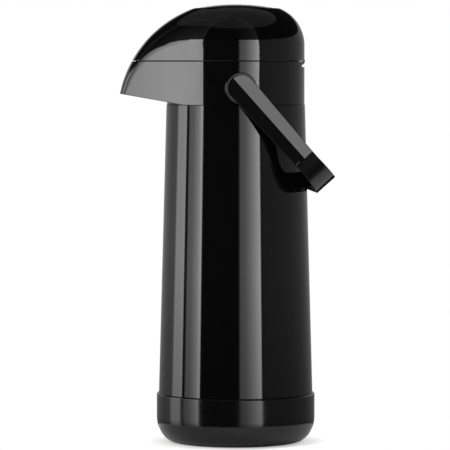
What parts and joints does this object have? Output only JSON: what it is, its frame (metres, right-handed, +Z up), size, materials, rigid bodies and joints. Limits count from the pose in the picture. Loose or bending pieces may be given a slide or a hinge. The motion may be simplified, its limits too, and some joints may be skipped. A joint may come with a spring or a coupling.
{
  "type": "airpot",
  "caption": "Pump airpot with a tapered round body on a base cup, a beaked head with hinged lid and push button, and a swinging carrying bail.",
  "frame": {"origin": "centre of the foot, on the surface that the airpot stands on", "axes": "+Z up, the spout points along -X, the lid's hinge lies at +X, and the object is symmetric about the XZ plane"},
  "size_m": [0.1659, 0.128, 0.3456],
  "materials": {
    "gloss_black": "polished moulded ABS",
    "base_plastic": "moulded ABS, a little less glossy",
    "satin_black": "satin, fine grain",
    "black_rubber": "matte",
    "silvered_glass": "clear glass, silvered between the walls",
    "spacer_fibre": "pressed mineral fibre",
    "white_silicone": "matte, slightly translucent",
    "white_plastic": "natural polypropylene",
    "bellows_plastic": "blow-moulded polyethylene",
    "steel": "bright stainless wire and screws"
  },
  "bodies": {
    "pot": {"base_cup": "base_plastic", "body_shell": "gloss_black", "flask_cushion": "black_rubber", "flask_outer_wall": "silvered_glass", "flask_inner_wall": "silvered_glass", "flask_spacers": "spacer_fibre", "neck_gasket": "white_silicone", "collar_shell": "gloss_black", "stopper_body": "white_plastic", "stopper_seal": "white_silicone", "dip_tube": "white_plastic", "delivery_elbow": "white_plastic", "delivery_pipe": "white_plastic", "spout_nozzle": "white_plastic", "nozzle_seal": "white_silicone", "air_seal": "white_silicone", "hinge_pin": "steel"},
    "lid": {"lid_shell": "gloss_black", "lid_base_plate": "white_plastic", "lid_screws": "steel", "bellows": "bellows_plastic", "return_spring": "steel", "air_valve": "white_silicone"},
    "button": {"push_button": "gloss_black", "button_plate": "white_plastic", "button_screws": "steel", "intake_valve": "white_silicone"},
    "bail": {"handle_bail": "satin_black", "pivot_pins": "satin_black"}
  },
  "joints": [
    {"name": "lid_hinge", "type": "hinge", "parent": "pot", "child": "lid", "pos_m": [0.0506, 0, 0.301], "axis": [0, 1, 0], "range_deg": [0, 95]},
    {"name": "button_press", "type": "slide", "parent": "lid", "child": "button", "axis": [0, 0, -1], "range_m": [0, 0.022], "stiffness_N_per_m": 1400, "springref_m": -0.004, "deforming": ["bellows", "return_spring"]},
    {"name": "bail_swing", "type": "hinge", "parent": "pot", "child": "bail", "pos_m": [0, 0, 0.28], "axis": [0, -1, 0], "range_deg": [0, 276.6]}
  ]
}
